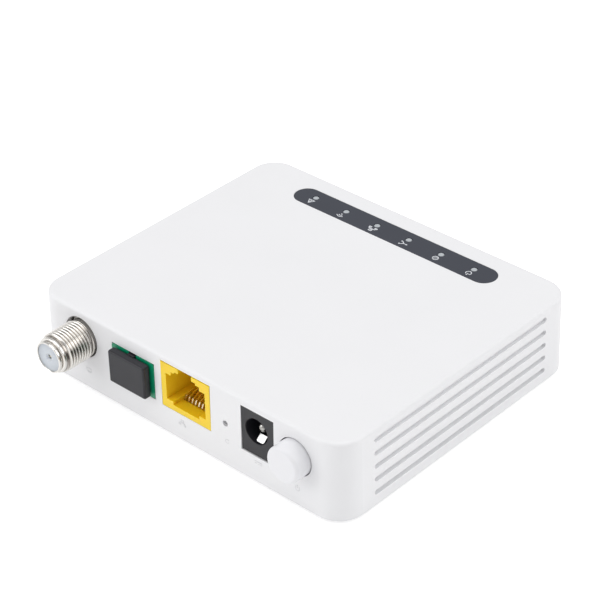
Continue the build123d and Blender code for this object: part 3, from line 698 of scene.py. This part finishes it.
def makeFingers():
    mouth = (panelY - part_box("f_center_contact")[0].y) / mm
    piece = turned("gripFingers", [(radius, mouth + place) for radius, place in fingers], 32)
    piece.data.transform(outwardFrom(coaxMiddle.x, panelY, coaxMiddle.z))
    dressed(piece, "goldPlate", "case")


makeFingers()
print("coaxial connector made")

# return spring of the power switch, wound wire
spring = {"wire": 0.16, "radius": 1.2, "turns": 5, "steps": 24, "gap": 0.02}


def makeSpring():
    low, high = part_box("power_switch_spring")
    wire = spring["wire"]
    section = [
        (spring["radius"] + wire * math.cos(angle), wire + spring["gap"] + wire * math.sin(angle))
        for angle in (math.pi * at / 4 for at in range(8))
    ]
    pitch = ((high.y - low.y) / mm - 2 * (wire + spring["gap"])) / spring["turns"]
    piece = coiled("switchSpring", section, {**spring, "pitch": pitch})
    anchor = ((low.x + high.x) / 2, high.y, (low.z + high.z) / 2)
    piece.data.transform(outwardFrom(*anchor))
    dressed(piece, "tinPlate", "case", 60)
    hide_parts("power_switch_spring")
    travel = next(joint["range_m"][1] for joint in frame["joints"] if joint["name"] == "power_press")
    1 - travel / (high.y - low.y)
    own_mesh(piece)


makeSpring()
print("switch spring made")


# printed marks: pen strokes in a flat drawing, laid on a surface and given a little thickness
def lines(pen, *ends):  # each from (u0, v0) to (u1, v1)
    shapes = []
    for u0, v0, u1, v1 in ends:
        run = Vector((u1 - u0, v1 - v0)).normalized() * pen / 2
        side = Vector((-run.y, run.x))
        start = Vector((u0, v0)) - run
        end = Vector((u1, v1)) + run
        shapes.append([tuple(corner) for corner in (start - side, end - side, end + side, start + side)])
    return shapes


def arc(u, v, radius, pen, start=0, end=360, parts=24):
    shapes = []
    angles = [math.radians(start + (end - start) * at / parts) for at in range(parts + 1)]
    for first, second in zip(angles, angles[1:]):
        corners = []
        for angle, reach in ((first, -1), (first, 1), (second, 1), (second, -1)):
            spread = radius + reach * pen / 2
            corners.append((u + spread * math.cos(angle), v + spread * math.sin(angle)))
        shapes.append(corners)
    return shapes


def dot(u, v, radius, parts=20):
    angles = [2 * math.pi * at / parts for at in range(parts)]
    return [[(u + radius * math.cos(angle), v + radius * math.sin(angle)) for angle in angles]]


def frameBox(u, v, width, height, pen):
    left, right = u - width / 2, u + width / 2
    low, high = v - height / 2, v + height / 2
    return lines(
        pen, (left, low, right, low), (left, high, right, high), (left, low, left, high), (right, low, right, high),
    )


def moved(drawing, u, v, scale):
    return [[(u + at * scale, v + up * scale) for at, up in shape] for shape in drawing]


layers = {"count": 7, "rise": 0.001}  # strokes that cross lie one above the other


def printed(name, drawing, lay, thick, finish):
    points = []
    faces = []
    for at, shape in enumerate(drawing):
        faces.append(tuple(range(len(points), len(points) + len(shape))))
        points.extend(lay(u, v, at % layers["count"] * layers["rise"]) for u, v in shape)
    piece = newPiece(name, points, [], faces)
    addStep(piece, "SOLIDIFY", thickness=thick * mm, offset=1.0)
    dressed(piece, finish, "case")


# generic pictograms, each about two units high around its own middle
pen = 0.26
pictograms = {
    "power": arc(0, -0.05, 0.82, pen, 125, 415) + lines(pen, (0, 0.2, 0, 1.0)),
    "fault": arc(0, 0, 0.85, pen) + lines(pen, (-0.55, -0.55, 0.55, 0.55)),
    "fibre": (
        dot(-1.2, 0, 0.26)
        + lines(pen, (-1.2, 0, -0.2, 0), (-0.2, 0, 0.6, 0.7), (-0.2, 0, 0.6, -0.7))
        + dot(0.95, 0.72, 0.24) + dot(0.95, -0.72, 0.24)
    ),
    "network": (
        frameBox(0, 0.62, 0.95, 0.62, pen)
        + lines(pen, (0, 0.3, 0, -0.1), (-1.05, -0.1, 1.05, -0.1))
        + lines(pen, (-1.05, -0.1, -1.05, -0.5), (1.05, -0.1, 1.05, -0.5))
        + frameBox(-1.05, -0.75, 0.7, 0.4, pen) + frameBox(1.05, -0.75, 0.7, 0.4, pen)
    ),
    "signal": (
        dot(0, -0.55, 0.24) + arc(0, -0.55, 0.8, pen, 40, 140, 10) + arc(0, -0.55, 1.4, pen, 40, 140, 14)
    ),
    "warning": (
        lines(pen, (-1.0, -0.75, 1.0, -0.75), (-1.0, -0.75, 0, 0.9), (1.0, -0.75, 0, 0.9), (0, 0.22, 0, -0.12))
        + dot(0, -0.42, 0.15, 10)
    ),
    "screen": frameBox(0, 0.15, 2.3, 1.35, pen) + lines(pen, (-0.6, -0.95, 0.6, -0.95), (0, -0.5, 0, -0.95)),
    "again": arc(0, 0, 0.8, pen, 60, 350) + [[(0.20, 0.86), (0.72, 0.28), (0.95, 0.98)]],
    "direct": lines(
        pen, (-1.1, 0.3, 1.1, 0.3), (-1.1, -0.3, -0.75, -0.3), (-0.15, -0.3, 0.15, -0.3), (0.75, -0.3, 1.1, -0.3),
    ),
}

# beside the ports: place along the panel, height on it, and size
panelMarks = {
    "screen": (-29.7, 4.8, 0.62),
    "network": (-0.15, 4.6, 0.72),
    "again": (13.4, 6.4, 0.62),
    "direct": (22.5, 5.2, 0.85),
    "power": (33.6, 4.4, 0.75),
}
panelProud = 0.005


def onPanel(u, v, rise):  # u runs along the panel, v up from the case's bottom edge
    return (u, panelY / mm + v * math.tan(panelLean) - panelProud - rise, caseLow.z / mm + v)


drawing = []
for name, (u, v, size) in panelMarks.items():
    drawing += moved(pictograms[name], u, v, size)
printed("panelMarks", drawing, onPanel, 0.01, "panelInk")

# the strip is read from the back, so its drawing is turned half round
stripMarks = {
    "order": ["warning", "signal", "network", "fibre", "fault", "power"],
    "first": -24.2, "pitch": 9.61, "offset": -2.05, "size": 0.82,
}
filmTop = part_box("indicator_overlay")[1].z / mm
pipeLow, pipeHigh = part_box("light_pipe")
marksY = (pipeLow.y + pipeHigh.y) / 2 / mm + stripMarks["offset"]


def onStrip(u, v, rise):
    return (-u, -v, filmTop + rise)


drawing = []
for at, name in enumerate(stripMarks["order"]):
    u = stripMarks["first"] + at * stripMarks["pitch"]
    drawing += moved(pictograms[name], -u, -marksY, stripMarks["size"])
printed("stripMarks", drawing, onStrip, 0.02, "markInk")
print("printed marks made")

# silkscreen on the board: boxes around parts, rings where it is aligned in the factory
boardMarks = {
    "boxed": ["main_chip", "crystal_can", "lan_transformer", "rf_shield_lid", "reset_switch_body"],
    "gap": 0.5, "pen": 0.15,
    "targets": [(-36, 38), (36, -24), (0, 38)],
    "ring": 0.9, "middle": 0.35,
}


def outlineOf(node, gap, pen):
    low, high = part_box(node)
    u, v = (low.x + high.x) / 2 / mm, (low.y + high.y) / 2 / mm
    return frameBox(u, v, (high.x - low.x) / mm + 2 * gap, (high.y - low.y) / mm + 2 * gap, pen)


def onBoard(u, v, rise):
    return (u, v, boardTop / mm + rise)


drawing = []
for node in boardMarks["boxed"]:
    drawing += outlineOf(node, boardMarks["gap"], boardMarks["pen"])
for u, v in boardMarks["targets"]:
    drawing += arc(u, v, boardMarks["ring"], boardMarks["pen"]) + dot(u, v, boardMarks["middle"], 12)
printed("boardPrint", drawing, onBoard, 0.02, "boardInk")

# dot at the transformer's first leg
firstLeg = {"across": 0.9, "along": 1.0, "radius": 0.35}
chipLow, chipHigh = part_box("lan_transformer")


def onChip(u, v, rise):
    return (u, v, chipHigh.z / mm + rise)


drawing = dot(chipLow.x / mm + firstLeg["across"], chipHigh.y / mm - firstLeg["along"], firstLeg["radius"], 16)
printed("transformerDot", drawing, onChip, 0.02, "boardInk")

# blank rating label: rules and empty boxes only
labelRules = {
    "rules": [(-21.7, 5.0, 21.7, 5.0), (-21.7, -4.0, 21.7, -4.0), (6.0, 5.0, 6.0, -11.2)],
    "boxes": [(13.8, -7.6, 13.0, 4.2), (13.8, 0.5, 13.0, 5.6)],
    "border": (0, 0, 43.5, 22.5),
    "pen": 0.15, "borderPen": 0.2,
}
labelLow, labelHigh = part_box("rating_label")
labelMiddle = (labelLow + labelHigh) / 2 / mm


def onLabel(u, v, rise):
    return (-u + labelMiddle.x, v + labelMiddle.y, labelLow.z / mm - rise)


drawing = frameBox(*labelRules["border"], labelRules["borderPen"]) + lines(labelRules["pen"], *labelRules["rules"])
for box in labelRules["boxes"]:
    drawing += frameBox(*box, labelRules["pen"])
printed("labelRules", drawing, onLabel, 0.01, "labelInk")

# solder cones where legs come through the board: place across, in from the panel, and leg's radius
soldered = {
    "coax": [(-31.45 + across, depth, 0.7) for across, depth in coax["legs"]],
    "centre": [(-31.45, 13.4, 0.4)],
    "inlet": [(22.3, 12.9, 0.6), (22.3, 8.0, 0.5), (25.7, 10.5, 0.6)],
    "switch": [(33.0 + side * 2.4, depth, 0.4) for side in (-1, 1) for depth in (9.5, 13.0, 16.5)],
}
cone = [  # beyond the leg's radius, and height on the board's underside
    (0.04, -0.85), (0.10, -0.6), (0.2, -0.3), (0.36, -0.12), (0.55, -0.02), (0.55, 0.03),
]


def makeSolder():
    cones = []
    for x, depth, radius in sum(soldered.values(), []):
        profile = [(0, cone[0][1]), *((radius + more, height) for more, height in cone), (0, cone[-1][1])]
        part = turned("solderCone", profile, 24)
        part.data.transform(Matrix.Translation((x * mm, panelY + depth * mm, boardUnder)))
        cones.append(part)
    piece = outward(joined("solderJoints", cones))
    dressed(piece, "solder", "case", 50)


makeSolder()
print("board details made")

# camera, floor and lights
shot = {
    "azimuth": 43.064,
    "elevation": 33.83,
    "roll": -1.286,
    "distance": 490.53,
    "target": (-7.005, 11.158, 11.5),
    "lens": 128.19,
    "sensor": 36.0,
    "nearest": 0.01,
}


def makeCamera():
    side = math.radians(shot["azimuth"])
    rise = math.radians(shot["elevation"])
    back = Vector((math.sin(side) * math.cos(rise), -math.cos(side) * math.cos(rise), math.sin(rise)))
    data = bpy.data.cameras.new("camera")
    data.lens = shot["lens"]
    data.sensor_width = shot["sensor"]
    data.clip_start = shot["nearest"]
    camera = bpy.data.objects.new("camera", data)
    bpy.context.scene.collection.objects.link(camera)
    turn = back.to_track_quat("Z", "Y") @ Quaternion((0, 0, 1), math.radians(shot["roll"]))
    spot = (Vector(shot["target"]) + back * shot["distance"]) * mm
    camera.matrix_world = Matrix.Translation(spot) @ turn.to_matrix().to_4x4()
    bpy.context.scene.camera = camera


studio = {
    "sky": 0.55,
    "floorHalf": 3000,
    "floorTone": 0.86,
    "floorSwing": 0.02,
    "floorCloud": 60,
    "floorRough": 0.9,
    "floorGlow": 0.45,
    "floorDim": 0.40,  # share of the glow that falls on the object
    "lamps": {  # place, size, watts
        "topBox": ((0.0, 0.1, 1.1), 1.0, 4.5),
        "frontBox": ((-0.65, -0.92, 0.6), 0.9, 5.4),
        "sideBox": ((0.92, 0.62, 0.75), 0.8, 4.5),
    },
}


def grey(tone):
    return (tone, tone, tone)


def makeStudio():
    world = bpy.data.worlds.new("studio")
    world.use_nodes = True
    sky = world.node_tree.nodes["Background"]
    sky.inputs["Color"].default_value = (1, 1, 1, 1)
    sky.inputs["Strength"].default_value = studio["sky"]
    bpy.context.scene.world = world
    bpy.context.scene.view_settings.view_transform = "Standard"
    half = studio["floorHalf"]
    corners = [(-half, -half, 0), (half, -half, 0), (half, half, 0), (-half, half, 0)]
    floor = newPiece("floor", corners, [], [(0, 1, 2, 3)])
    finish, skin, place = newFinish(
        "floorPaper", Roughness=studio["floorRough"], Emission_Strength=studio["floorGlow"],
    )
    tone = studio["floorTone"]
    cloud = place.noise(studio["floorCloud"])
    feed(skin, Base_Color=cloud.blend(grey(tone), grey(tone + studio["floorSwing"])))
    seen = place.node("LightPath", {}, {}, "Is Camera Ray")
    feed(skin, Emission_Color=seen.blend(grey(studio["floorDim"]), grey(1)))
    floor.data.materials.append(finish)
    for name, (spot, size, watts) in studio["lamps"].items():
        data = bpy.data.lights.new(name, "AREA")
        data.size = size
        data.energy = watts
        lamp = bpy.data.objects.new(name, data)
        bpy.context.scene.collection.objects.link(lamp)
        lamp.location = spot
        lamp.rotation_euler = Vector(spot).to_track_quat("Z", "Y").to_euler()


makeCamera()
makeStudio()
print("camera and studio set")
